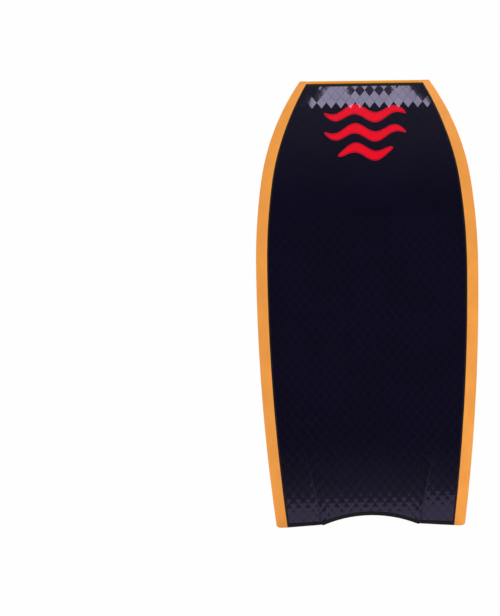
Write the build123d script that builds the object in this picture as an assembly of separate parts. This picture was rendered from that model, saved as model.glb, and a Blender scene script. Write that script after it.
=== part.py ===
"""Bodyboard, 42 inch class: a bonded foam sandwich on a core with a tube stringer.

The board is drawn lying on its slick, in millimetres: X across, Y from the tail tips to the nose, and Z from
the slick up to the deck. stand_up() then turns each finished piece, so that the board stands on its tail with
the deck facing -Y and the slick facing +Y. The origin is on the floor, at the middle of the board's box.

The outer form is one loft through cross-sections. Every piece is cut from that form with shared surfaces, so
neighbours meet face to face.
"""

from build123d import *
import os
from math import asin, cos, sin, sqrt

# Outline, seen from the deck
LENGTH = 1067.0
WIDTH = 534.0
NOSE_WIDTH = 312.0
TAIL_WIDTH = 453.0
WIDEST_FROM_NOSE = 442.0
SHOULDER_FROM_NOSE = 240.0
SHOULDER_TUCK = 14.8  # how much narrower each side is at the shoulder than at the widest line
NOSE_CORNER_RADIUS = 10.0
TAIL_CORNER_RADIUS = 12.0

# Side profile
THICKNESS = 57.0
NOSE_TAPER = 11.0  # how much thinner the board is at its nose
TAIL_TAPER = 5.0
ROCKER_RUN = 317.0  # the slick is flat up to here, measured back from the nose
ROCKER_RISE = 42.0
DECK_RISE_RUN = 367.0
DECK_FALL_RUN = 300.0

# Rails: the lower rail slopes out to the rail line, and the chine slopes back in to the deck
LOWER_RAIL_PLAN = 28.7
NOSE_RAIL_NARROWING = 7.5  # how much narrower the lower rail is at the nose
NOSE_RAIL_RUN = 160.0
CHINE_PLAN = 23.5
RAIL_LINE_SHARE = 0.55  # height of the rail line in the thickness: 55/45 rails
RAIL_STRIP = 11.0  # foam strip of both bevels, measured across the board
FOOT_BEVEL = 3.5  # 45 degree bevel of the slick's edge, between the slick surface and the lower rail's slope
RAIL_LINE_RADIUS = 3.0
DECK_CORNER_RADIUS = 9.0

# Layers, from the slick up
SLICK_SKIN = 1.5
SLICK_BACKING = 3.0
MESH = 0.6
DECK_SKIN = 5.0

# Slick: the film stops short of the nose and the tail, and two channels rise towards the tail
SLICK_NOSE_SETBACK = 0.8
SLICK_TAIL_SETBACK = 10.0
CHANNEL_DEPTH = 6.0
CHANNEL_LENGTH = 243.0
CHANNEL_INNER_TAIL = 112.0  # inner edge of a channel at the tail, from the centre line
CHANNEL_INNER_FRONT = 167.0

# Tail: a crescent between two flats in the slick, and a deeper arc from tip to tip in the deck
CRESCENT_WIDTH = 242.0
CRESCENT_DEPTH = 26.0
DECK_ARC_WIDTH = 404.0
DECK_ARC_DEPTH = 57.0
TAIL_BAND = 10.0

# Nose: a convex bumper strip
NOSE_FACE_RADIUS = 32.0
NOSE_FACE_HEIGHT = 22.0  # of its foremost line above the slick
NOSE_BUMPER = 16.0
STRIP_END_PROUD = 0.5  # the ends of the rails and chines stand this far ahead of the bumper

# Stringer
STRINGER_DIAMETER = 14.0
STRINGER_WALL = 1.5
STRINGER_GLUE_GAP = 0.2
STRINGER_HEIGHT = 28.5
STRINGER_FROM_TAIL = 75.0
STRINGER_FROM_NOSE = 167.0
CAP_FLANGE = 3.0
CAP_SPIGOT = 10.0

# How far the cutters and the loft run past the board
END_MARGIN = 40.0
SIDE_MARGIN = 60.0
FACE_MARGIN = 20.0
SECTIONS = 24


def arc_radius(run, rise):
    """Radius of the arc that leaves a line tangentially and is off it by rise after run."""
    return (run**2 + rise**2) / (2 * rise)


def arc_drop(run, radius):
    """How far that arc is off its tangent line after run."""
    return radius - sqrt(radius**2 - run**2)


NOSE_THICKNESS = THICKNESS - NOSE_TAPER
TAIL_THICKNESS = THICKNESS - TAIL_TAPER
SHOULDER_RUN = WIDEST_FROM_NOSE - SHOULDER_FROM_NOSE
TAIL_SIDE_RADIUS = arc_radius(LENGTH - WIDEST_FROM_NOSE, (WIDTH - TAIL_WIDTH) / 2)
SHOULDER_RADIUS = arc_radius(SHOULDER_RUN, SHOULDER_TUCK)
SHOULDER_ANGLE = asin(SHOULDER_RUN / SHOULDER_RADIUS)
NOSE_SIDE_TUCK = WIDTH / 2 - SHOULDER_TUCK - NOSE_WIDTH / 2
NOSE_SIDE_RADIUS = (NOSE_SIDE_TUCK**2 + SHOULDER_FROM_NOSE**2) / (
    2 * (NOSE_SIDE_TUCK * cos(SHOULDER_ANGLE) - SHOULDER_FROM_NOSE * sin(SHOULDER_ANGLE))
)
ROCKER_START = LENGTH - ROCKER_RUN
ROCKER_RADIUS = arc_radius(ROCKER_RUN, ROCKER_RISE)
DECK_RISE_START = LENGTH - DECK_RISE_RUN
DECK_RISE_RADIUS = arc_radius(DECK_RISE_RUN, ROCKER_RISE - NOSE_TAPER)
DECK_FALL_RADIUS = arc_radius(DECK_FALL_RUN, TAIL_TAPER)
NOSE_RAIL_RADIUS = arc_radius(NOSE_RAIL_RUN, NOSE_RAIL_NARROWING)
BOTTOM_LAYERS = SLICK_SKIN + SLICK_BACKING
NOSE_FACE_Z = ROCKER_RISE + NOSE_FACE_HEIGHT
CEILING = ROCKER_RISE + NOSE_THICKNESS + SIDE_MARGIN
FLOOR = -FACE_MARGIN
HALF_SPAN = WIDTH / 2 + SIDE_MARGIN


def half_width(y):
    """Half of the plan outline's width: three arcs, tangent at the widest line and at the shoulder."""
    from_nose = LENGTH - y
    if from_nose > WIDEST_FROM_NOSE:
        return WIDTH / 2 - arc_drop(from_nose - WIDEST_FROM_NOSE, TAIL_SIDE_RADIUS)
    if from_nose > SHOULDER_FROM_NOSE:
        return WIDTH / 2 - arc_drop(WIDEST_FROM_NOSE - from_nose, SHOULDER_RADIUS)
    run = SHOULDER_FROM_NOSE - from_nose + NOSE_SIDE_RADIUS * sin(SHOULDER_ANGLE)
    tuck = NOSE_SIDE_RADIUS * cos(SHOULDER_ANGLE) - sqrt(NOSE_SIDE_RADIUS**2 - run**2)
    return WIDTH / 2 - SHOULDER_TUCK - tuck


def slick_height(y):
    return arc_drop(max(0.0, y - ROCKER_START), ROCKER_RADIUS)


def deck_height(y):
    if y > DECK_RISE_START:
        return THICKNESS + arc_drop(y - DECK_RISE_START, DECK_RISE_RADIUS)
    return THICKNESS - arc_drop(max(0.0, DECK_FALL_RUN - y), DECK_FALL_RADIUS)


def rail_line_height(y):
    return slick_height(y) + RAIL_LINE_SHARE * (deck_height(y) - slick_height(y))


def lower_rail_plan(y):
    return LOWER_RAIL_PLAN - arc_drop(max(0.0, y - LENGTH + NOSE_RAIL_RUN), NOSE_RAIL_RADIUS)


def channel_depth(y):
    """Depth of the channel floor, which reaches the slick at the channel's front and passes below it ahead."""
    return CHANNEL_DEPTH * (1 - y / CHANNEL_LENGTH)


def channel_inner_edge(y):
    return CHANNEL_INNER_TAIL + (CHANNEL_INNER_FRONT - CHANNEL_INNER_TAIL) * y / CHANNEL_LENGTH


def chord_arc(x, width, depth):
    """Height at x of an arc that stands on a chord of this width, and zero past its ends."""
    if abs(x) >= width / 2:
        return 0.0
    radius = arc_radius(width / 2, depth)
    return depth - arc_drop(x, radius)


def tail_edge(x, z):
    """Y of the tail face at x and height z. It leans from the slick's crescent to the deck's deeper arc."""
    slick_edge = chord_arc(x, CRESCENT_WIDTH, CRESCENT_DEPTH)
    deck_edge = chord_arc(x, DECK_ARC_WIDTH, DECK_ARC_DEPTH)
    return slick_edge + (deck_edge - slick_edge) * z / TAIL_THICKNESS


def across(y):
    """Cross-section plane at y, whose own axes are X and Z."""
    return Plane(origin=(0, y, 0), x_dir=(1, 0, 0), z_dir=(0, -1, 0))


def stations():
    step = (LENGTH + 2 * END_MARGIN) / (SECTIONS - 1)
    return [i * step - END_MARGIN for i in range(SECTIONS)]


def rail_points(y):
    """Corners of the right side at y: foot of the lower rail, rail line and deck corner."""
    foot_z = slick_height(y) + max(0.0, channel_depth(y)) + FOOT_BEVEL
    foot = (half_width(y) - lower_rail_plan(y), foot_z)
    line = (half_width(y), rail_line_height(y))
    deck = (half_width(y) - CHINE_PLAN, deck_height(y))
    return foot, line, deck


def mirrored(points):
    return points + [(-x, z) for x, z in reversed(points)]


def beyond(start, end, z):
    """Point at height z on the line through start and end."""
    share = (z - start[1]) / (end[1] - start[1])
    return (start[0] + (end[0] - start[0]) * share, z)


def outer_form():
    """The whole board as a loft. Its foot bevels run on below the slick, where above_slick() cuts them."""
    faces = []
    for y in stations():
        foot, line, deck = rail_points(y)
        toe = (foot[0] - FACE_MARGIN, foot[1] - FACE_MARGIN)
        radii = [0.0, 0.0, RAIL_LINE_RADIUS, DECK_CORNER_RADIUS]
        outline = FilletPolyline(mirrored([toe, foot, line, deck]), radius=radii + radii[::-1], close=True)
        faces.append(across(y) * make_face(outline))
    return loft(faces)


def inside_bevel(first, last):
    """The space inside one of the right side's strips. first and last number its corners in rail_points()."""
    faces = []
    for y in stations():
        corners = rail_points(y)
        start, end = [(x - RAIL_STRIP, z) for x, z in (corners[first], corners[last])]
        low = beyond(start, end, corners[0][1] - FACE_MARGIN)
        high = beyond(start, end, corners[-1][1] + FACE_MARGIN)
        outline = Polyline((-FACE_MARGIN, low[1]), low, high, (-FACE_MARGIN, high[1]), close=True)
        faces.append(across(y) * make_face(outline))
    return loft(faces)


def side_block(edge, z):
    """The block between a side profile, drawn from tail to nose, and the level z."""
    start, end = edge @ 0, edge @ 1
    closing = Polyline(end, (end.X, end.Y, z), (start.X, start.Y, z), start)
    return extrude(make_face([edge, closing]), 2 * HALF_SPAN, dir=(1, 0, 0))


def profile_arc(height, start, end):
    """Arc of a side profile that passes through height() at start, middle and end."""
    places = (start, (start + end) / 2, end)
    return ThreePointArc(*[(-HALF_SPAN, y, height(y)) for y in places])


def other_side(piece):
    return mirror(piece, about=Plane.YZ)


def channel_cutter():
    """What the right channel takes away. A slanted inner wall at 45 degrees, a sloped floor, open to the rail."""
    faces = []
    for y in (-END_MARGIN, CHANNEL_LENGTH + END_MARGIN):
        depth, inner = channel_depth(y), channel_inner_edge(y)
        outline = Polyline(
            (inner + FLOOR, FLOOR), (inner + depth, depth), (HALF_SPAN, depth), (HALF_SPAN, FLOOR), close=True
        )
        faces.append(across(y) * make_face(outline))
    return loft(faces, ruled=True)


def above_slick(lift):
    """Everything above the slick surface, right channel and rocker with it, moved up by lift."""
    flat = Line((-HALF_SPAN, -END_MARGIN, 0), (-HALF_SPAN, ROCKER_START, 0))
    rocker = profile_arc(slick_height, ROCKER_START, LENGTH + END_MARGIN)
    block = side_block(Wire([flat.edge(), rocker.edge()]), CEILING)
    return Pos(0, 0, lift) * (block - channel_cutter())


def below_deck(drop):
    """Everything below the deck surface moved down by drop."""
    fall = profile_arc(deck_height, -END_MARGIN, DECK_FALL_RUN)
    flat = Line((-HALF_SPAN, DECK_FALL_RUN, THICKNESS), (-HALF_SPAN, DECK_RISE_START, THICKNESS))
    rise = profile_arc(deck_height, DECK_RISE_START, LENGTH + END_MARGIN)
    block = side_block(Wire([fall.edge(), flat.edge(), rise.edge()]), 2 * FLOOR)
    return Pos(0, 0, -drop) * block


def below_rail_line():
    curve = Spline([(-HALF_SPAN, y, rail_line_height(y)) for y in stations()])
    return side_block(curve, 2 * FLOOR)


def tail_cutter(inset=0.0):
    """Everything behind the tail face, moved into the board by inset."""
    bends = [-HALF_SPAN, -DECK_ARC_WIDTH / 2, -CRESCENT_WIDTH / 2]
    bends += [-x for x in reversed(bends)]
    faces = []
    for z in (FLOOR, THICKNESS + FACE_MARGIN):
        edges = []
        for left, right in zip(bends, bends[1:]):
            middle = (left + right) / 2
            points = [(x, tail_edge(x, z), z) for x in (left, middle, right)]
            straight = left == bends[0] or right == bends[-1]
            edges.append(Line(points[0], points[2]) if straight else ThreePointArc(*points))
        start, end = edges[0] @ 0, edges[-1] @ 1
        edges.append(Polyline(end, (end.X, -SIDE_MARGIN, z), (start.X, -SIDE_MARGIN, z), start))
        faces.append(make_face(edges))
    return Pos(0, inset, 0) * loft(faces, ruled=True)


def nose_cutter(inset=0.0):
    """Everything ahead of the convex nose face, moved into the board by inset."""
    depth = NOSE_FACE_RADIUS + END_MARGIN
    block = Box(2 * HALF_SPAN, depth, 4 * NOSE_FACE_RADIUS)
    round_face = Rot(0, 90, 0) * Cylinder(NOSE_FACE_RADIUS, 4 * HALF_SPAN)
    cutter = Pos(0, depth / 2, 0) * block - round_face
    return Pos(0, LENGTH - NOSE_FACE_RADIUS - inset, NOSE_FACE_Z) * cutter


def nose_zone():
    depth = NOSE_BUMPER + END_MARGIN
    return Pos(0, LENGTH - NOSE_BUMPER + depth / 2, 0) * Box(2 * HALF_SPAN, depth, 4 * CEILING)


def corner_cutter(end_y, towards, radius):
    """Rounds the right corner of the outline at end_y. towards is +1 at the nose and -1 at the tail."""
    lean = (half_width(end_y) - half_width(end_y - towards * radius)) / radius
    side_normal = Vector(1, -towards * lean, 0).normalized()
    end_normal = Vector(0, towards, 0)
    reach = radius * (1 - side_normal.Y * towards) / side_normal.X
    centre = Vector(half_width(end_y) - reach, end_y - towards * radius, 0)
    far = radius + END_MARGIN
    slice_points = [centre, centre + side_normal * far, centre + (side_normal + end_normal) * far]
    slice_points.append(centre + end_normal * far)
    plan = make_face(Polyline(*slice_points, close=True)) - Pos(centre) * Circle(radius)
    return Pos(0, 0, FLOOR) * extrude(plan, CEILING - FLOOR, dir=(0, 0, 1))


def right_half_form():
    """The finished outside of the board's right half, before it is taken apart into layers."""
    half = Pos(HALF_SPAN, LENGTH / 2, 0) * Box(2 * HALF_SPAN, 2 * LENGTH, 4 * CEILING)
    form = (outer_form() & half) & above_slick(0)
    form = form - tail_cutter() - nose_cutter()
    form -= corner_cutter(LENGTH, 1, NOSE_CORNER_RADIUS)
    form -= corner_cutter(0, -1, TAIL_CORNER_RADIUS)
    return form


def rod(diameter, start, end):
    """A round bar along the stringer's line."""
    bar = Rot(-90, 0, 0) * Cylinder(diameter / 2, end - start)
    return Pos(0, (start + end) / 2, STRINGER_HEIGHT) * bar


def stringer_pieces():
    front = LENGTH - STRINGER_FROM_NOSE
    bore = STRINGER_DIAMETER - 2 * STRINGER_WALL
    tube = rod(STRINGER_DIAMETER, STRINGER_FROM_TAIL, front)
    tube -= rod(bore, STRINGER_FROM_TAIL, front)
    cap = rod(STRINGER_DIAMETER, front, front + CAP_FLANGE)
    cap += rod(bore - 2 * STRINGER_GLUE_GAP, front - CAP_SPIGOT, front)
    return tube, cap


def whole(right_half):
    return right_half + other_side(right_half)


def make_pieces():
    """Every piece, from the right half of the form: strips are copied to the left, and the rest is joined to it."""
    form = right_half_form()
    over_film = above_slick(SLICK_SKIN)
    over_backing = above_slick(BOTTOM_LAYERS)
    under_skin = below_deck(DECK_SKIN)
    film = form - over_film - tail_cutter(SLICK_TAIL_SETBACK) - nose_cutter(SLICK_NOSE_SETBACK)
    pieces = {"slick_skin": whole(film)}
    pieces["slick_backing"] = whole((form & over_film) - over_backing)
    pieces["deck_skin"] = whole(form - under_skin)

    middle = form & over_backing & under_skin
    inside_lower_rail = inside_bevel(0, 1)
    inside_chine = inside_bevel(1, 2)
    inside = middle & inside_lower_rail & inside_chine
    lower_rail = (middle & below_rail_line()) - inside_lower_rail
    chine = middle - below_rail_line() - inside_chine
    pieces["right_lower_rail"] = lower_rail
    pieces["left_lower_rail"] = other_side(lower_rail)
    pieces["right_chine"] = chine
    pieces["left_chine"] = other_side(chine)
    pieces["nose_bumper"] = whole((inside & nose_zone()) - nose_cutter(STRIP_END_PROUD))
    pieces["tail_band"] = whole(inside & tail_cutter(TAIL_BAND))

    foam = inside - nose_zone() - tail_cutter(TAIL_BAND)
    over_mesh = above_slick(BOTTOM_LAYERS + MESH)
    under_mesh = below_deck(DECK_SKIN + MESH)
    pieces["lower_mesh"] = whole(foam - over_mesh)
    pieces["upper_mesh"] = whole(foam - under_mesh)

    blank = whole(foam & over_mesh & under_mesh)
    bore_front = LENGTH - STRINGER_FROM_NOSE + CAP_FLANGE
    pieces["core_blank"] = blank - rod(STRINGER_DIAMETER + 2 * STRINGER_GLUE_GAP, -END_MARGIN, bore_front)
    pieces["stringer_tube"], pieces["stringer_nose_cap"] = stringer_pieces()
    pieces["stringer_tail_plug"] = blank & rod(STRINGER_DIAMETER, -END_MARGIN, STRINGER_FROM_TAIL)
    return pieces


def stand_up(pieces):
    """Turns the pieces from lying on the slick to standing on the tail, about the middle of the box."""
    turned = {name: Rot(90, 0, 0) * piece for name, piece in pieces.items()}
    box = Compound(children=[part for piece in turned.values() for part in piece.solids()]).bounding_box()
    shift = Pos(0, -(box.min.Y + box.max.Y) / 2, 0)
    return {name: shift * piece for name, piece in turned.items()}


os.makedirs("parts", exist_ok=True)
for node, piece in stand_up(make_pieces()).items():
    export_step(piece, f"parts/{node}.step")
    print(node, len(piece.solids()), round(piece.volume))
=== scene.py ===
# %% [markdown]
# # A foam bodyboard
# A bodyboard is a sandwich. A light core is closed in by a matte foam deck, a glossy plastic slick and foam
# strips round the edge, all bonded face to face. The construction model already has each of these pieces at
# its real size, so nothing here is moved or resized. This lesson gives every piece the surface it has on the
# real board: embossing, softened foam edges, seams, print and finish.

# %% Load the construction model
import math

import bmesh
import bpy
from mathutils import Matrix, Vector
from mathutils.noise import cell_vector


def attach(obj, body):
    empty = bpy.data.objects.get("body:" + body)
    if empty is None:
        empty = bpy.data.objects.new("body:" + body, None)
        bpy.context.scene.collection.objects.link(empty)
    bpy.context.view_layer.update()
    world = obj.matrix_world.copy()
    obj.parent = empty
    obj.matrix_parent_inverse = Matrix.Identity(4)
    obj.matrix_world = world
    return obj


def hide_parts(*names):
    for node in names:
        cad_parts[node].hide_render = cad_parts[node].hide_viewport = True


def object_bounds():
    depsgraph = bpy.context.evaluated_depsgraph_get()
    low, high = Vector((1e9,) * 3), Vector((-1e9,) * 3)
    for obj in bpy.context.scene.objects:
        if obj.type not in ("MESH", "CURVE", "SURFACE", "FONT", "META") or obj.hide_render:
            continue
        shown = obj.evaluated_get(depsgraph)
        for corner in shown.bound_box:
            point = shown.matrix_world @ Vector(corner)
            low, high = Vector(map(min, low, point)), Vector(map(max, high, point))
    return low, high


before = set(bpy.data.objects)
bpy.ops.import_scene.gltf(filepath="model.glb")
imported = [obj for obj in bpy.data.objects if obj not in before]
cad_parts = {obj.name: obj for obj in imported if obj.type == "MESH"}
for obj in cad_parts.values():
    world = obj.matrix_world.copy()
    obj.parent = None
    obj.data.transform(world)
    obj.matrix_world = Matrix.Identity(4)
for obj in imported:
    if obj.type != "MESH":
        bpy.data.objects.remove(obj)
CAD_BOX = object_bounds()
LOW, HIGH = CAD_BOX
print("pieces", len(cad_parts), "box", [round(side, 4) for side in HIGH - LOW])

# %% [markdown]
# ## The board's own frame
# The board stands on its tail. Z runs from the tail to the nose, the deck faces -Y and the slick faces +Y.
# All lengths are metres. The bottom of the board isn't flat: it curves up towards the nose, which is called
# rocker, and two shallow channels run out through the tail. One function gives that surface, so the embossed
# film can be made flat first and then bent onto it.

# %% Shape of the slick
LENGTH = HIGH.z
SLICK_PLANE = HIGH.y
ROCKER_RUN = 0.317
ROCKER_RISE = 0.042
ROCKER_RADIUS = (ROCKER_RUN**2 + ROCKER_RISE**2) / (2 * ROCKER_RISE)
CHANNEL_LENGTH = 0.243
CHANNEL_DEPTH = 0.006
CHANNEL_INNER_TAIL = 0.112
CHANNEL_INNER_FRONT = 0.167


def channel_edge(z):
    """How far from the centre line a channel's inner wall starts."""
    return CHANNEL_INNER_TAIL + (CHANNEL_INNER_FRONT - CHANNEL_INNER_TAIL) * z / CHANNEL_LENGTH


def channel_depth(z):
    return max(0.0, CHANNEL_DEPTH * (1 - z / CHANNEL_LENGTH))


def slick_surface(x, z):
    """The Y of the slick at x across the board and z along it."""
    run = max(0.0, z - (LENGTH - ROCKER_RUN))
    rocker = ROCKER_RADIUS - math.sqrt(ROCKER_RADIUS**2 - run**2)
    channel = min(max(abs(x) - channel_edge(z), 0.0), channel_depth(z))
    return SLICK_PLANE - rocker - channel


print("rocker radius", round(ROCKER_RADIUS, 3), "channel depth at the tail", round(channel_depth(0.0), 4))

# %% [markdown]
# ## Camera
# The product is shown flat on, with no perspective, so that its outline reads like a drawing. An
# orthographic camera does this. It looks at the slick, with the board well to the right in the picture and
# turned by less than a degree. The camera's own axes place the board in the picture, so a turned camera
# needs no extra sums.

# %% Camera that looks at the slick
VIEW_HEIGHT = 1.4735
BOARD_RIGHT_OF_CENTRE = 0.2815
BOARD_ABOVE_CENTRE = 0.0108
CAMERA_DISTANCE = 4.0
CAMERA_ROLL = math.radians(-0.82)


def product_camera():
    data = bpy.data.cameras.new("product_camera")
    data.type = "ORTHO"
    data.ortho_scale = VIEW_HEIGHT
    camera = bpy.data.objects.new("product_camera", data)
    bpy.context.scene.collection.objects.link(camera)
    turn = Matrix.Rotation(math.pi, 3, "Z") @ Matrix.Rotation(math.pi / 2, 3, "X")
    turn = turn @ Matrix.Rotation(CAMERA_ROLL, 3, "Z")
    centre = (LOW + HIGH) / 2
    in_view = Vector((BOARD_RIGHT_OF_CENTRE, BOARD_ABOVE_CENTRE, -CAMERA_DISTANCE))
    camera.matrix_world = Matrix.Translation(centre - turn @ in_view) @ turn.to_4x4()
    bpy.context.scene.camera = camera
    return camera


camera = product_camera()
bpy.context.scene.view_settings.view_transform = "Standard"
print("camera at", [round(value, 3) for value in camera.matrix_world.translation])

# %% [markdown]
# ## Small tools for materials
# Every finish of the board is a Principled shader with procedural textures on Object coordinates. The pieces
# all sit at the origin, so Object coordinates are plain positions on the board in metres, and a print can be
# placed by arithmetic on them. Each node takes a few lines to make and link, so these helpers do that and
# keep the studio and the finishes short. Noise mostly stays near the middle of its span from 0 to 1, so a
# Map Range spreads that middle over the whole span that is wanted.

# %% Nodes for numbers and places
def finish_tree(name):
    """A new material, its node tree and the tree's Principled shader."""
    material = bpy.data.materials.new(name)
    material.use_nodes = True
    tree = material.node_tree
    return material, tree, tree.nodes["Principled BSDF"]


def math_node(tree, operation, first, second=0.0, third=0.0):
    """One Math node. Each of its inputs is a number or an output to link."""
    node = tree.nodes.new("ShaderNodeMath")
    node.operation = operation
    for socket, value in zip(node.inputs, (first, second, third)):
        if isinstance(value, (int, float)):
            socket.default_value = value
        else:
            tree.links.new(value, socket)
    return node.outputs[0]


def positions(tree):
    """The Object coordinates, and their X, Y and Z."""
    place = tree.nodes.new("ShaderNodeTexCoord").outputs["Object"]
    split = tree.nodes.new("ShaderNodeSeparateXYZ")
    tree.links.new(place, split.inputs[0])
    return place, split.outputs["X"], split.outputs["Y"], split.outputs["Z"]


def up(tree, coordinates):
    """The Z of one kind of texture coordinates."""
    split = tree.nodes.new("ShaderNodeSeparateXYZ")
    tree.links.new(tree.nodes.new("ShaderNodeTexCoord").outputs[coordinates], split.inputs[0])
    return split.outputs["Z"]


def noise(tree, place, scale, detail=2.0, roughness=0.5):
    node = tree.nodes.new("ShaderNodeTexNoise")
    node.inputs["Scale"].default_value = scale
    node.inputs["Detail"].default_value = detail
    node.inputs["Roughness"].default_value = roughness
    tree.links.new(place, node.inputs["Vector"])
    return node.outputs[0]


def spread(tree, value, low, high, from_low=0.0, from_high=1.0):
    """Map Range from one span to another, clamped."""
    node = tree.nodes.new("ShaderNodeMapRange")
    node.inputs["From Min"].default_value = from_low
    node.inputs["From Max"].default_value = from_high
    node.inputs["To Min"].default_value = low
    node.inputs["To Max"].default_value = high
    tree.links.new(value, node.inputs["Value"])
    return node.outputs[0]


# %% Colours and relief
def blend(tree, share, first, second):
    """Mixes two colours. Each is a colour or an output to link."""
    node = tree.nodes.new("ShaderNodeMix")
    node.data_type = "RGBA"
    tree.links.new(share, node.inputs["Factor"])
    for socket, value in ((node.inputs["A"], first), (node.inputs["B"], second)):
        if isinstance(value, tuple):
            socket.default_value = value
        else:
            tree.links.new(value, socket)
    return node.outputs["Result"]


def tint(color, share):
    """The colour made lighter or darker by share."""
    return tuple(channel * share for channel in color[:3]) + (1.0,)


def drifting(tree, place, color, scale, amount):
    """The colour, a little darker in some places and lighter in others."""
    drift = spread(tree, noise(tree, place, scale, detail=3.0), 0.0, 1.0, from_low=0.35, from_high=0.65)
    return blend(tree, drift, tint(color, 1.0 - amount), tint(color, 1.0 + amount))


def relief(tree, shader, height, distance):
    """Bump from a height between 0 and 1. distance is its real height in metres."""
    node = tree.nodes.new("ShaderNodeBump")
    node.inputs["Strength"].default_value = 1.0
    node.inputs["Distance"].default_value = distance
    tree.links.new(height, node.inputs["Height"])
    tree.links.new(node.outputs[0], shader.inputs["Normal"])


# %% [markdown]
# ## Studio
# The board is dark and glossy on one side and matte on the other, and it stands in front of white. A white
# world would be mirrored in the slick and turn it grey. So the world has three jobs, told apart by the Light
# Path node: the camera sees plain white, matte surfaces get soft light from all round, and mirror
# reflections see a dim room that gets brighter away from the horizon.

# %% White backdrop, soft light and a dim room for reflections
BACKDROP = (0.99, 0.99, 0.99, 1.0)
SOFT_LIGHT = (1.0, 1.0, 1.0, 1.0)
ROOM_TINT = (1.0, 0.97, 1.12)
ROOM_STEPS_BELOW = ((0.0, 0.30), (0.36, 0.12), (0.44, 0.034))
ROOM_STEPS_ABOVE = ((0.505, 0.034), (0.55, 0.05), (0.65, 0.16), (1.0, 0.5))
ROOM_STEPS = ROOM_STEPS_BELOW + ROOM_STEPS_ABOVE


def studio_world():
    world = bpy.data.worlds.new("studio_world")
    world.use_nodes = True
    tree = world.node_tree
    tree.nodes.clear()
    ray = tree.nodes.new("ShaderNodeLightPath").outputs
    share_up = spread(tree, up(tree, "Generated"), 0.0, 1.0, from_low=-1.0)
    room = tree.nodes.new("ShaderNodeValToRGB")
    # A new ramp already has two stops.
    for index, (position, level) in enumerate(ROOM_STEPS):
        stop = room.color_ramp.elements[index] if index < 2 else room.color_ramp.elements.new(position)
        stop.position = position
        stop.color = tint(ROOM_TINT, level)
    tree.links.new(share_up, room.inputs["Fac"])
    matte_or_gloss = blend(tree, ray["Is Glossy Ray"], SOFT_LIGHT, room.outputs["Color"])
    seen = blend(tree, ray["Is Camera Ray"], matte_or_gloss, BACKDROP)
    background = tree.nodes.new("ShaderNodeBackground")
    tree.links.new(seen, background.inputs["Color"])
    output = tree.nodes.new("ShaderNodeOutputWorld")
    tree.links.new(background.outputs[0], output.inputs["Surface"])
    bpy.context.scene.world = world


studio_world()
print("room brightness from below to above", [level for _, level in ROOM_STEPS])

# %% [markdown]
# ## Glowing panels
# The flat part of the slick mirrors the dim room behind the camera. Only the curved nose leans back far
# enough to mirror a softbox that hangs high in front of it, and that draws the bright band there. The
# softbox is narrower at the top and has a dim boom in front of it. Low strips near the floor do the same for
# the tail. There are three, because each channel tilts what it mirrors, and as the floor isn't mirrored they
# can reach below it. In front of each stands a see-through panel whose glow fades out upwards, and a strip
# and a glow at each side serve the views from there. An area lamp could only be a rectangle or an ellipse,
# so the panels are small meshes that glow. They are part of the studio and hidden from the camera, and all
# but the softbox light nothing but reflections.

# %% Paint for the panels
CLOTH_SCALE = 22.0
CLOTH_UNEVENNESS = 0.14


def glow_strength(tree, radiance, fades_up):
    """A little uneven, as cloth in front of a lamp is. If fades_up, it falls to nothing at the top."""
    cloth = noise(tree, positions(tree)[0], CLOTH_SCALE)
    dimmest, brightest = radiance * (1 - CLOTH_UNEVENNESS), radiance * (1 + CLOTH_UNEVENNESS)
    strength = spread(tree, cloth, dimmest, brightest, from_low=0.3, from_high=0.7)
    if fades_up:
        below_top = math_node(tree, "SUBTRACT", 1.0, up(tree, "Generated"))
        strength = math_node(tree, "MULTIPLY", strength, math_node(tree, "POWER", below_top, 2.0))
    return strength


def panel_paint(name, color, radiance, fades_up=False):
    """Light for a panel. A panel that fades up is also see-through, so what stands behind it still shows."""
    material = bpy.data.materials.new(name + "_glow")
    material.use_nodes = True
    tree = material.node_tree
    tree.nodes.remove(tree.nodes["Principled BSDF"])
    glow = tree.nodes.new("ShaderNodeEmission")
    glow.inputs["Color"].default_value = color
    tree.links.new(glow_strength(tree, radiance, fades_up), glow.inputs["Strength"])
    light = glow.outputs[0]
    if fades_up:
        both = tree.nodes.new("ShaderNodeAddShader")
        clear = tree.nodes.new("ShaderNodeBsdfTransparent")
        tree.links.new(light, both.inputs[0])
        tree.links.new(clear.outputs[0], both.inputs[1])
        light = both.outputs[0]
    tree.links.new(light, tree.nodes["Material Output"].inputs["Surface"])
    return material


SOFTBOX_TINT = (0.765, 0.695, 1.0, 1.0)
STRIP_TINT = (0.70, 0.58, 1.0, 1.0)
GLOW_TINT = (0.80, 0.68, 1.0, 1.0)
softbox_paint = panel_paint("softbox", SOFTBOX_TINT, radiance=7.2)
flag_paint = panel_paint("flag", SOFTBOX_TINT, radiance=0.5)
strip_paint = panel_paint("strip", STRIP_TINT, radiance=0.62)
glow_paint = panel_paint("glow", GLOW_TINT, radiance=0.55, fades_up=True)
print("panel paints", [paint.name for paint in (softbox_paint, flag_paint, strip_paint, glow_paint)])

# %% Panels in front of the slick and beside it
def studio_panel(name, outline, distance, paint, turn=0.0, only_mirrored=True):
    """An upright panel that faces the board. Its outline is (x, z) points. turn swings it round the board."""
    bm = bmesh.new()
    bm.faces.new([bm.verts.new((x, distance, z)) for x, z in outline])
    bmesh.ops.rotate(bm, verts=bm.verts[:], matrix=Matrix.Rotation(turn, 3, "Z"))
    mesh = bpy.data.meshes.new(name)
    bm.to_mesh(mesh)
    bm.free()
    mesh.materials.append(paint)
    panel = bpy.data.objects.new(name, mesh)
    bpy.context.scene.collection.objects.link(panel)
    panel.visible_camera = False
    panel.visible_diffuse = not only_mirrored
    panel.visible_shadow = False


def rectangle(left, right, bottom, top):
    return ((left, bottom), (right, bottom), (right, top), (left, top))


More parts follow.
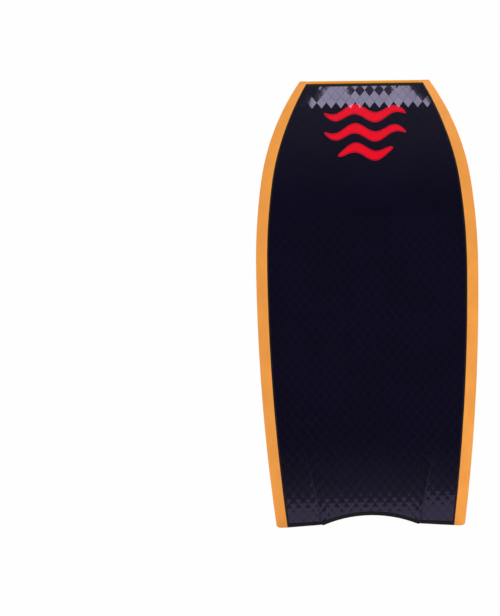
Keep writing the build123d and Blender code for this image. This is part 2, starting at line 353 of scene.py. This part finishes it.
SOFTBOX_RIGHT_EDGE = ((-0.186, 2.100), (-0.150, 2.165), (-0.120, 2.231), (-0.104, 2.315), (-0.092, 2.730))
SOFTBOX_LEFT_EDGE = ((0.092, 2.730), (0.100, 2.315), (0.112, 2.231), (0.130, 2.100))
SOFTBOX_DISTANCE = 2.40
BOOM_DISTANCE = 2.35
STRIP_DISTANCE = 1.05
GLOW_DISTANCE = 1.04
SIDE_DISTANCE = 0.5
STRIP_FOOT = -0.2
BOOM = rectangle(-0.069, 0.046, 2.257, 2.318)
SIDE_STRIP = rectangle(-0.3, 0.3, -0.30, -0.04)
SIDE_GLOW = rectangle(-0.3, 0.3, -0.04, 0.15)
TAIL_STRIPS = {
    "tail_strip": rectangle(-0.116, 0.118, STRIP_FOOT, 0.056),
    "tail_strip_right": rectangle(-0.45, -0.116, STRIP_FOOT, 0.021),
    "tail_strip_left": rectangle(0.118, 0.45, STRIP_FOOT, 0.008),
}
TAIL_GLOWS = {
    "tail_glow": ((-0.115, 0.0), (0.115, 0.0), (0.167, 0.23), (-0.167, 0.23)),
    "tail_glow_right": ((-0.3, -0.05), (-0.104, -0.05), (-0.156, 0.18), (-0.3, 0.18)),
    "tail_glow_left": ((0.104, -0.05), (0.3, -0.05), (0.3, 0.18), (0.156, 0.18)),
}

softbox_outline = SOFTBOX_RIGHT_EDGE + SOFTBOX_LEFT_EDGE
studio_panel("nose_softbox", softbox_outline, SOFTBOX_DISTANCE, softbox_paint, only_mirrored=False)
studio_panel("boom", BOOM, BOOM_DISTANCE, flag_paint)
for name, outline in TAIL_STRIPS.items():
    studio_panel(name, outline, STRIP_DISTANCE, strip_paint)
for name, outline in TAIL_GLOWS.items():
    studio_panel(name, outline, GLOW_DISTANCE, glow_paint)
for side, turn in (("right", -math.pi / 2), ("left", math.pi / 2)):
    studio_panel("side_strip_" + side, SIDE_STRIP, SIDE_DISTANCE, strip_paint, turn)
    studio_panel("side_glow_" + side, SIDE_GLOW, SIDE_DISTANCE, glow_paint, turn)
print("tail panels", sorted(TAIL_STRIPS) + sorted(TAIL_GLOWS))

# %% [markdown]
# ## Lamps
# Two lamps light the matte foam on the deck's side. A broad one gives the deck its soft fall-off from the
# upper left, and a long low one lifts the orange band in the tail.

# %% Lamps on the deck's side
def lamp(name, size, radiance, place, target):
    """A rectangular area lamp of the given radiance that faces target."""
    data = bpy.data.lights.new(name, "AREA")
    data.shape = "RECTANGLE"
    data.size, data.size_y = size
    data.energy = radiance * math.pi * size[0] * size[1]
    lamp_object = bpy.data.objects.new(name, data)
    bpy.context.scene.collection.objects.link(lamp_object)
    facing = (Vector(target) - Vector(place)).to_track_quat("-Z", "Y")
    lamp_object.matrix_world = Matrix.Translation(place) @ facing.to_matrix().to_4x4()
    lamp_object.visible_camera = False


lamp("deck_key", size=(1.0, 0.8), radiance=10.2, place=(-0.75, -1.15, 1.28), target=(0.0, 0.0, 0.5))
lamp("tail_fill", size=(1.2, 0.2), radiance=0.8, place=(0.0, -1.6, 0.11), target=(0.0, 0.0, 0.03))
print("lamps", sorted(data.name for data in bpy.data.lights))

# %% [markdown]
# ## Floor
# The board stands on a pale matte floor. It is so large that its far edge never enters a picture.

# %% Floor
FLOOR_SIDE = 200.0
FLOOR_COLOR = (0.93, 0.93, 0.93, 1.0)
FLOOR_ROUGHNESS = 0.9
FLOOR_GLOSS = 0.1


def pale_floor():
    mesh = bpy.data.meshes.new("pale_floor")
    bm = bmesh.new()
    bmesh.ops.create_grid(bm, x_segments=1, y_segments=1, size=FLOOR_SIDE / 2)
    bm.to_mesh(mesh)
    bm.free()
    material = bpy.data.materials.new("floor_paint")
    material.use_nodes = True
    paint = material.node_tree.nodes["Principled BSDF"]
    paint.inputs["Base Color"].default_value = FLOOR_COLOR
    paint.inputs["Roughness"].default_value = FLOOR_ROUGHNESS
    paint.inputs["Specular IOR Level"].default_value = FLOOR_GLOSS
    mesh.materials.append(material)
    floor = bpy.data.objects.new("pale_floor", mesh)
    bpy.context.scene.collection.objects.link(floor)
    floor.visible_glossy = False


pale_floor()
print("floor", FLOOR_SIDE, "m square")

# %% [markdown]
# ## The print
# A printed mark sits in the same place on the deck and on the slick. This one is a generic sign for water:
# three wavy strokes, one above the other, which taper to their ends. A stroke is a sine line with a
# thickness, so the distance of a point from it is |z - wave(x)| minus half the thickness, and that distance
# is all the shader needs: below zero is print, and a little below zero is the darker rim of the print on the
# slick.

# %% Distance to the printed wave strokes
PRINT_CENTRE = LENGTH - 0.124
STROKE_PITCH = 0.046
STROKE_HALF_LENGTHS = (0.098, 0.098, 0.066)
STROKE_HALF_THICKNESS = 0.0125
WAVE_HEIGHT = 0.010
WAVE_LENGTH = 0.098


def stroke_distance(tree, x, z, centre, half_length):
    """Distance in metres from a stroke's edge: negative inside it."""
    wave = math_node(tree, "SINE", math_node(tree, "MULTIPLY", x, 2 * math.pi / WAVE_LENGTH))
    line = math_node(tree, "MULTIPLY_ADD", wave, WAVE_HEIGHT, centre)
    off_line = math_node(tree, "ABSOLUTE", math_node(tree, "SUBTRACT", z, line))
    along = math_node(tree, "POWER", math_node(tree, "DIVIDE", x, half_length), 2.0)
    taper = math_node(tree, "SQRT", math_node(tree, "MAXIMUM", math_node(tree, "SUBTRACT", 1.0, along), 0.0))
    distance = math_node(tree, "MULTIPLY_ADD", taper, -STROKE_HALF_THICKNESS, off_line)
    past_end = math_node(tree, "GREATER_THAN", along, 1.0)
    return math_node(tree, "ADD", distance, past_end)


def print_distance(tree, x, z):
    """Distance from the nearest of the three strokes."""
    distances = []
    for index, half_length in enumerate(STROKE_HALF_LENGTHS):
        centre = PRINT_CENTRE + (1 - index) * STROKE_PITCH
        distances.append(stroke_distance(tree, x, z, centre, half_length))
    nearest = math_node(tree, "MINIMUM", distances[0], distances[1])
    return math_node(tree, "MINIMUM", nearest, distances[2])


print("strokes", len(STROKE_HALF_LENGTHS), "centred", round(PRINT_CENTRE, 3), "m above the tail")

# %% [markdown]
# ## Finishes
# The deck is closed-cell foam with a fine pebble: small soft bumps about a millimetre across, which blur its
# reflections. Its colour drifts a little from place to place, as foam sheet does.

# %% Deck foam
DECK_COLOR = (0.0077, 0.0060, 0.0125, 1.0)
DECK_PRINT_COLOR = (0.0004, 0.0004, 0.0005, 1.0)
DECK_GLOSS = 0.012
DECK_ROUGHNESS = (0.62, 0.74)
DECK_INK_BLUR = 0.0004
DECK_CELLS = 900.0
FLECK_LIGHTNESS = 1.45
FLECK_SHARE = 0.35
DECK_PEBBLES = 420.0
PEBBLE_WEIGHT = 0.7
PEBBLE_HEIGHT = 0.00025


def deck_foam():
    material, tree, shader = finish_tree("deck_foam_pebble")
    place, x, _, z = positions(tree)
    foam = drifting(tree, place, DECK_COLOR, scale=9.0, amount=0.10)
    cells = noise(tree, place, DECK_CELLS)
    flecks = spread(tree, cells, 0.0, FLECK_SHARE, from_low=0.55, from_high=0.75)
    foam = blend(tree, flecks, foam, tint(DECK_COLOR, FLECK_LIGHTNESS))
    distance = print_distance(tree, x, z)
    ink = spread(tree, distance, 1.0, 0.0, -DECK_INK_BLUR, DECK_INK_BLUR)
    tree.links.new(blend(tree, ink, foam, DECK_PRINT_COLOR), shader.inputs["Base Color"])
    matte = spread(tree, noise(tree, place, scale=60.0), *DECK_ROUGHNESS)
    tree.links.new(matte, shader.inputs["Roughness"])
    shader.inputs["Specular IOR Level"].default_value = DECK_GLOSS
    pebbles = noise(tree, place, DECK_PEBBLES, detail=1.0)
    pebble = math_node(tree, "MULTIPLY_ADD", pebbles, PEBBLE_WEIGHT, cells)
    relief(tree, shader, pebble, PEBBLE_HEIGHT)
    return material


# %% [markdown]
# The chines, the rails and the nose and tail strips are smoother foam, cut from sheet and skinned by heat.
# The same recipe makes them all: a slight mottling, sparse cells that show as darker specks, and a soft
# grain.

# %% Foam strips
STRIP_ROUGHNESS = (0.42, 0.58)
STRIP_CELLS = 1400.0
STRIP_GRAIN_HEIGHT = 0.00008


def strip_foam(name, color, mottle=0.05, speck=0.12, gloss=0.35):
    material, tree, shader = finish_tree(name)
    place = positions(tree)[0]
    foam = drifting(tree, place, color, scale=14.0, amount=mottle)
    cells = noise(tree, place, STRIP_CELLS, detail=1.0)
    specks = spread(tree, cells, 0.0, 1.0, from_low=0.60, from_high=0.78)
    tree.links.new(blend(tree, specks, foam, tint(color, 1.0 - speck)), shader.inputs["Base Color"])
    matte = spread(tree, noise(tree, place, scale=80.0), *STRIP_ROUGHNESS)
    tree.links.new(matte, shader.inputs["Roughness"])
    shader.inputs["Specular IOR Level"].default_value = gloss
    relief(tree, shader, cells, STRIP_GRAIN_HEIGHT)
    return material


# %% [markdown]
# The slick is a tough plastic film, dark and glossy. Its mirror reflections are what shows the embossing, so
# its roughness is low, with a faint haze where the film has been handled. The film's cut edge is dull. It
# faces sideways, so its normal tells it from the face. The print lies under the gloss and has a darker rim.

# %% Slick film
FILM_COLOR = (0.0036, 0.0024, 0.0112, 1.0)
FILM_PRINT_COLOR = (0.83, 0.002, 0.018, 1.0)
FILM_PRINT_RIM = (0.38, 0.002, 0.012, 1.0)
RIM_INSET = 0.0022
RIM_WIDTH = 0.0012
FILM_INK_BLUR = 0.0003
FILM_IOR = 1.52
FILM_HAZE = (0.02, 0.04)
CUT_EDGE_ROUGHNESS = 0.6
FILM_RIPPLE_HEIGHT = 0.000005


def slick_film():
    material, tree, shader = finish_tree("slick_film_gloss")
    place, x, _, z = positions(tree)
    film = drifting(tree, place, FILM_COLOR, scale=7.0, amount=0.12)
    distance = print_distance(tree, x, z)
    ink = spread(tree, distance, 1.0, 0.0, -FILM_INK_BLUR, FILM_INK_BLUR)
    off_rim = math_node(tree, "ABSOLUTE", math_node(tree, "ADD", distance, RIM_INSET))
    rim = spread(tree, off_rim, 1.0, 0.0, RIM_WIDTH / 2, RIM_WIDTH)
    red = blend(tree, rim, FILM_PRINT_COLOR, FILM_PRINT_RIM)
    tree.links.new(blend(tree, ink, film, red), shader.inputs["Base Color"])
    smears = noise(tree, place, scale=30.0, detail=4.0, roughness=0.6)
    haze = spread(tree, smears, *FILM_HAZE, from_low=0.3, from_high=0.7)
    facing = tree.nodes.new("ShaderNodeSeparateXYZ")
    tree.links.new(tree.nodes.new("ShaderNodeNewGeometry").outputs["True Normal"], facing.inputs[0])
    cut_edge = spread(tree, facing.outputs["Y"], CUT_EDGE_ROUGHNESS, 0.0, from_low=0.3, from_high=0.5)
    tree.links.new(math_node(tree, "ADD", haze, cut_edge), shader.inputs["Roughness"])
    shader.inputs["IOR"].default_value = FILM_IOR
    relief(tree, shader, noise(tree, place, scale=260.0, detail=1.0), FILM_RIPPLE_HEIGHT)
    return material


# %% One finish for each part that shows
# The chines are the deck's navy foam, here made about half as bright: painted shade on the sloping chines.
CHINE_SHADED_COLOR = (0.0040, 0.0029, 0.0088, 1.0)
RAIL_COLOR = (0.87, 0.325, 0.040, 1.0)
BUMPER_COLOR = (0.82, 0.285, 0.002, 1.0)
BACKING_COLOR = (0.0105, 0.0095, 0.0105, 1.0)
FINISHES = {
    "deck_foam": deck_foam(),
    "chine_foam": strip_foam("chine_foam_shaded_skin", CHINE_SHADED_COLOR, mottle=0.08, speck=0.30, gloss=0.05),
    "rail_foam": strip_foam("rail_foam_skin", RAIL_COLOR),
    "bumper_foam": strip_foam("bumper_foam_skin", BUMPER_COLOR, gloss=0.04),
    "backing_foam": strip_foam("backing_foam_sheet", BACKING_COLOR, mottle=0.08, speck=0.30),
    "slick_film": slick_film(),
}
print("finishes", sorted(FINISHES))

# %% [markdown]
# ## Foam pieces with soft edges
# The construction model's pieces have sharp edges, and foam never has. Where two foam pieces meet, each edge
# is slightly round, and that leaves the fine seam line that you see on a real board. Moving vertices by hand
# would be long work on so many edges. A Bevel modifier rounds every edge sharper than an angle, and Weighted
# Normal keeps the large faces flat and bends the light only over the narrow ones. The model's meshes are
# loose triangles, so each piece starts as a merged copy.

# %% Merged copies and softened pieces
WELD = 0.000002
FLAT_ANGLE = math.radians(0.4)
SOFT_EDGE_ANGLE = math.radians(30)


def merged_copy(node):
    """A bmesh of a construction piece with its triangles joined up."""
    bm = bmesh.new()
    bm.from_mesh(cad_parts[node].data)
    bmesh.ops.remove_doubles(bm, verts=bm.verts[:], dist=WELD)
    bmesh.ops.dissolve_limit(bm, angle_limit=FLAT_ANGLE, verts=bm.verts[:], edges=bm.edges[:])
    return bm


def add_piece(bm, name, node, slot):
    """Makes the bmesh a piece that stands for a construction node."""
    mesh = bpy.data.meshes.new(name)
    bm.to_mesh(mesh)
    bm.free()
    mesh.materials.append(FINISHES[slot])
    piece = bpy.data.objects.new(name, mesh)
    bpy.context.scene.collection.objects.link(piece)
    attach(piece, "root")
    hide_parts(node)
    return piece


def soften(piece, width):
    """Rounds the piece's edges and keeps its broad faces flat."""
    for polygon in piece.data.polygons:
        polygon.use_smooth = True
    bevel = piece.modifiers.new("soft_edges", "BEVEL")
    bevel.width = width
    bevel.segments = 2
    bevel.limit_method = "ANGLE"
    bevel.angle_limit = SOFT_EDGE_ANGLE
    bevel.profile = 0.5
    bevel.use_clamp_overlap = True
    normals = piece.modifiers.new("flat_faces", "WEIGHTED_NORMAL")
    normals.keep_sharp = True


# %% The foam pieces
FOAM_PIECES = {
    "slick_backing": ("backing_sheet", "backing_foam", 0.0003),
    "right_lower_rail": ("right_rail_foam", "rail_foam", 0.0005),
    "left_lower_rail": ("left_rail_foam", "rail_foam", 0.0005),
    "right_chine": ("right_chine_foam", "chine_foam", 0.0005),
    "left_chine": ("left_chine_foam", "chine_foam", 0.0005),
    "nose_bumper": ("nose_bumper_foam", "bumper_foam", 0.0005),
    "tail_band": ("tail_band_foam", "bumper_foam", 0.0005),
    "deck_skin": ("deck_sheet", "deck_foam", 0.0006),
}
for node, (name, slot, width) in FOAM_PIECES.items():
    piece = add_piece(merged_copy(node), name, node, slot)
    soften(piece, width)
    print(name, len(piece.data.polygons), "faces")

# %% [markdown]
# ## The embossed slick
# The film is pressed with a lattice of diamonds. Each diamond is a very low pillow, about a tenth of a
# millimetre high, between narrow grooves. Its slight crown, and a tilt of its own, are enough to break up a
# reflection. A bump texture could fake it, but then the pattern would be missing from the mesh. One diamond
# is made, doubled with half an offset, and repeated by two Array modifiers. The flat sheet is then cut to
# the film's outline by a Boolean and bent onto the slick.

# %% One diamond of the emboss
CELL_ACROSS = 0.0230
CELL_ALONG = 0.0286
GROOVE_HALF_WIDTH = 0.00025
GROOVE_DEPTH = 0.0001
PILLOW_RISE = 0.00013
CELL_GRID = 3


def add_diamond(bm, centre_x, centre_z):
    """A pillow in the XZ plane that faces +Y, with half a groove round it."""
    made = bmesh.ops.create_grid(bm, x_segments=CELL_GRID, y_segments=CELL_GRID, size=0.5)
    verts = made["verts"]
    faces = list({face for vert in verts for face in vert.link_faces})
    half_diagonal = math.sqrt(0.5)
    stretch = (CELL_ACROSS / 2 / half_diagonal, CELL_ALONG / 2 / half_diagonal, 1.0)
    bmesh.ops.rotate(bm, verts=verts, matrix=Matrix.Rotation(math.pi / 4, 3, "Z"))
    bmesh.ops.scale(bm, verts=verts, vec=stretch)
    inset = bmesh.ops.inset_region(bm, faces=faces, thickness=GROOVE_HALF_WIDTH, use_boundary=True)
    verts = list({vert for face in faces + inset["faces"] for vert in face.verts})
    for vert in verts:
        across, along = vert.co.x / (CELL_ACROSS / 2), vert.co.y / (CELL_ALONG / 2)
        vert.co.z = -PILLOW_RISE * (across**2 + along**2)
        if vert.is_boundary:
            vert.co.z = -PILLOW_RISE - GROOVE_DEPTH
    bmesh.ops.rotate(bm, verts=verts, matrix=Matrix.Rotation(-math.pi / 2, 3, "X"))
    bmesh.ops.translate(bm, verts=verts, vec=(centre_x, 0.0, centre_z))


# %% Outline of the film as a prism
ON_SURFACE = 0.0003
PRISM_HALF_DEPTH = 0.01


def outline_prism():
    """A block with the film's outline, from the outer face of the construction piece pressed flat."""
    bm = bmesh.new()
    bm.from_mesh(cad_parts["slick_skin"].data)
    bmesh.ops.remove_doubles(bm, verts=bm.verts[:], dist=WELD)
    away = {vert for vert in bm.verts if abs(slick_surface(vert.co.x, vert.co.z) - vert.co.y) > ON_SURFACE}
    others = [face for face in bm.faces if away.intersection(face.verts)]
    bmesh.ops.delete(bm, geom=others, context="FACES")
    for vert in bm.verts:
        vert.co.y = PRISM_HALF_DEPTH
    bmesh.ops.dissolve_faces(bm, faces=bm.faces[:])
    grown = bmesh.ops.extrude_face_region(bm, geom=bm.faces[:])["geom"]
    back = [part for part in grown if isinstance(part, bmesh.types.BMVert)]
    bmesh.ops.translate(bm, verts=back, vec=(0.0, -2 * PRISM_HALF_DEPTH, 0.0))
    bmesh.ops.recalc_face_normals(bm, faces=bm.faces[:])
    mesh = bpy.data.meshes.new("film_outline")
    bm.to_mesh(mesh)
    print("outline prism", len(bm.faces), "faces, volume", bm.calc_volume())
    bm.free()
    prism = bpy.data.objects.new("film_outline", mesh)
    bpy.context.scene.collection.objects.link(prism)
    return prism


# %% The whole sheet, cut to its outline
FILM_THICKNESS = 0.0015
JOIN_DISTANCE = 0.00001


def repeat(piece, count, step):
    """Repeats the piece's mesh count times, each a step from the last."""
    array = piece.modifiers.new("repeat", "ARRAY")
    array.count = count
    array.use_relative_offset = False
    array.use_constant_offset = True
    array.constant_offset_displace = step
    array.use_merge_vertices = True
    array.merge_threshold = JOIN_DISTANCE


def settle(piece):
    """Applies the piece's modifiers."""
    depsgraph = bpy.context.evaluated_depsgraph_get()
    mesh = bpy.data.meshes.new_from_object(piece.evaluated_get(depsgraph))
    piece.modifiers.clear()
    piece.data = mesh


def flat_film(prism):
    """The embossed sheet, flat, with its pillow tops at Y = 0."""
    bm = bmesh.new()
    columns = math.ceil((HIGH.x - LOW.x) / CELL_ACROSS) + 2
    rows = math.ceil(LENGTH / CELL_ALONG) + 2
    first_x = -columns // 2 * CELL_ACROSS
    add_diamond(bm, first_x, 0.0)
    add_diamond(bm, first_x + CELL_ACROSS / 2, -CELL_ALONG / 2)
    bmesh.ops.remove_doubles(bm, verts=bm.verts[:], dist=JOIN_DISTANCE)
    mesh = bpy.data.meshes.new("slick_film")
    bm.to_mesh(mesh)
    bm.free()
    film = bpy.data.objects.new("slick_film", mesh)
    bpy.context.scene.collection.objects.link(film)
    repeat(film, columns, (CELL_ACROSS, 0.0, 0.0))
    repeat(film, rows, (0.0, 0.0, CELL_ALONG))
    wall = film.modifiers.new("film_thickness", "SOLIDIFY")
    wall.thickness = FILM_THICKNESS
    wall.offset = -1.0
    trim = film.modifiers.new("trim", "BOOLEAN")
    trim.operation = "INTERSECT"
    trim.object = prism
    trim.solver = "EXACT"
    settle(film)
    return film


# %% [markdown]
# Bending only moves vertices, so the film first gets an edge wherever the slick has a crease, which is along
# each channel's inner wall. The outline and these lines cut the diamonds into odd shapes. So vertices that
# all but touch are joined, those that join only two edges are dissolved, and faces with more than four sides
# are made triangles. That keeps the film one closed shell when it bends. Each diamond also gets a slight
# tilt of its own. Cell noise has one fixed value for each whole-number place, so the tilts look random but
# never change. At the curved nose each diamond is a flat facet, which mirrors a single patch of the softbox.

# %% Edges where the slick has a crease
CUT_SLACK = 0.00002


def cut_channel_lines(bm):
    """Gives the film an edge along the top and the foot of each channel's inner wall."""
    for side in (-1, 1):
        for step in (0.0, CHANNEL_DEPTH):
            start = Vector((side * (channel_edge(0.0) + step), 0.0, 0.0))
            end = Vector((side * channel_edge(CHANNEL_LENGTH), 0.0, CHANNEL_LENGTH))
            line = end - start
            faces = [face for face in bm.faces if min(vert.co.z for vert in face.verts) < CHANNEL_LENGTH]
            geometry = faces + list({edge for face in faces for edge in face.edges})
            geometry += list({vert for face in faces for vert in face.verts})
            across = Vector((line.z, 0.0, -line.x)).normalized()
            bmesh.ops.bisect_plane(bm, geom=geometry, dist=CUT_SLACK, plane_co=start, plane_no=across)


# %% Tilt of each diamond
CELL_TILT = 0.004
HALF = Vector((0.5, 0.5, 0.5))


def cell_relief(x, z):
    """How far a point rises with its diamond: a slight tilt, and at the curved nose a flat face."""
    rising = round(x / CELL_ACROSS + z / CELL_ALONG)
    falling = round(x / CELL_ACROSS - z / CELL_ALONG)
    off_x = x - (rising + falling) / 2 * CELL_ACROSS
    off_z = z - (rising - falling) / 2 * CELL_ALONG
    tilt = CELL_TILT * (cell_vector(Vector((rising, falling, 0.0))) - HALF)
    lift = off_x * tilt.x + off_z * tilt.y
    if z - off_z > LENGTH - ROCKER_RUN:
        lift += off_z**2 / (2 * ROCKER_RADIUS)
        lift += PILLOW_RISE * ((2 * off_x / CELL_ACROSS) ** 2 + (2 * off_z / CELL_ALONG) ** 2)
    return lift


# %% Bend the film onto the slick
SHARP_GROOVE = math.radians(12)


def bend_film(film):
    """Cleans up the cut mesh, then lays every vertex on the slick."""
    bm = bmesh.new()
    bm.from_mesh(film.data)
    cut_channel_lines(bm)
    bmesh.ops.remove_doubles(bm, verts=bm.verts[:], dist=JOIN_DISTANCE)
    bmesh.ops.dissolve_verts(bm, verts=[vert for vert in bm.verts if len(vert.link_edges) == 2])
    bmesh.ops.triangulate(bm, faces=[face for face in bm.faces if len(face.verts) > 4])
    for vert in bm.verts:
        in_groove = -FILM_THICKNESS / 2 < vert.co.y < -PILLOW_RISE - GROOVE_DEPTH / 2
        lift = 0.0 if in_groove else cell_relief(vert.co.x, vert.co.z)
        vert.co.y += slick_surface(vert.co.x, vert.co.z) + lift
    bm.normal_update()
    for face in bm.faces:
        face.smooth = True
    for edge in bm.edges:
        edge.smooth = edge.calc_face_angle(math.pi) < SHARP_GROOVE
    bm.to_mesh(film.data)
    bm.free()


prism = outline_prism()
film = flat_film(prism)
bpy.data.objects.remove(prism)
bend_film(film)
film.data.materials.clear()
film.data.materials.append(FINISHES["slick_film"])
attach(film, "root")
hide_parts("slick_skin")
film.data.calc_loop_triangles()
print("slick film has", len(film.data.loop_triangles), "triangles")

# %% [markdown]
# ## Inside the board
# The core, its plastic mesh layers and the stringer are closed in by the pieces above, and show only when
# the board is taken apart. They keep the construction model's shapes and get finishes of their own: beads of
# expanded foam, white mesh cloth, a wound fibre tube and moulded rubber.

# %% Bead foam of the core
BEADS = 260.0
BEAD_COLOR = (0.84, 0.84, 0.82, 1.0)
BEAD_SEAM_COLOR = (0.62, 0.62, 0.60, 1.0)
BEAD_ROUGHNESS = 0.7
BEAD_HEIGHT = 0.0004


def bead_foam():
    material, tree, shader = finish_tree("core_bead_foam")
    place = positions(tree)[0]
    beads = tree.nodes.new("ShaderNodeTexVoronoi")
    beads.feature = "DISTANCE_TO_EDGE"
    beads.inputs["Scale"].default_value = BEADS
    tree.links.new(place, beads.inputs["Vector"])
    seam = spread(tree, beads.outputs["Distance"], 1.0, 0.0, from_low=0.0, from_high=0.10)
    tree.links.new(blend(tree, seam, BEAD_COLOR, BEAD_SEAM_COLOR), shader.inputs["Base Color"])
    shader.inputs["Roughness"].default_value = BEAD_ROUGHNESS
    crown = spread(tree, beads.outputs["Distance"], 0.0, 1.0, from_low=0.0, from_high=0.25)
    relief(tree, shader, crown, BEAD_HEIGHT)
    return material


# %% Mesh cloth and wound fibre
STRAND_HEIGHT = 0.0002
STRAND_BLUR = 0.04


def woven_finish(name, strand, gap, spacing, strand_share, roughness):
    """Two crossed families of strands, for mesh cloth and for the wound tube."""
    material, tree, shader = finish_tree(name)
    _, x, y, z = positions(tree)
    masks = []
    for direction in (math_node(tree, "ADD", x, z), math_node(tree, "SUBTRACT", x, z)):
        turns = math_node(tree, "MULTIPLY", math_node(tree, "ADD", direction, y), 1.0 / spacing)
        masks.append(math_node(tree, "PINGPONG", turns, 0.5))
    nearest = math_node(tree, "MINIMUM", masks[0], masks[1])
    strand_edge = strand_share / 2
    on_strand = spread(tree, nearest, 1.0, 0.0, strand_edge - STRAND_BLUR, strand_edge + STRAND_BLUR)
    tree.links.new(blend(tree, on_strand, gap, strand), shader.inputs["Base Color"])
    shader.inputs["Roughness"].default_value = roughness
    relief(tree, shader, on_strand, STRAND_HEIGHT)
    return material


MESH_STRAND = (0.75, 0.75, 0.74, 1.0)
MESH_GAP = (0.45, 0.45, 0.45, 1.0)
TUBE_FIBRE = (0.030, 0.030, 0.032, 1.0)
TUBE_RESIN = (0.012, 0.012, 0.013, 1.0)
mesh_finish = woven_finish(
    "mesh_cloth", MESH_STRAND, MESH_GAP, spacing=0.006, strand_share=0.35, roughness=0.5
)
tube_finish = woven_finish(
    "wound_fibre", TUBE_FIBRE, TUBE_RESIN, spacing=0.002, strand_share=0.5, roughness=0.35
)
print("woven finishes", mesh_finish.name, tube_finish.name)

# %% Rubber cap, and the finishes put on
CAP_DARK = (0.016, 0.016, 0.017, 1.0)
CAP_LIGHT = (0.030, 0.030, 0.031, 1.0)
CAP_ROUGHNESS = 0.65
CAP_GRAIN_HEIGHT = 0.00005


def cap_rubber():
    material, tree, shader = finish_tree("cap_rubber_moulded")
    place = positions(tree)[0]
    grain = noise(tree, place, scale=700.0)
    tree.links.new(blend(tree, grain, CAP_DARK, CAP_LIGHT), shader.inputs["Base Color"])
    shader.inputs["Roughness"].default_value = CAP_ROUGHNESS
    relief(tree, shader, grain, CAP_GRAIN_HEIGHT)
    return material


core_finish = bead_foam()
INSIDE_FINISHES = {
    "core_blank": core_finish,
    "stringer_tail_plug": core_finish,
    "lower_mesh": mesh_finish,
    "upper_mesh": mesh_finish,
    "stringer_tube": tube_finish,
    "stringer_nose_cap": cap_rubber(),
}
for node, finish in INSIDE_FINISHES.items():
    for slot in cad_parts[node].material_slots:
        slot.material = finish
    print(node, len(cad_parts[node].material_slots), "slot")
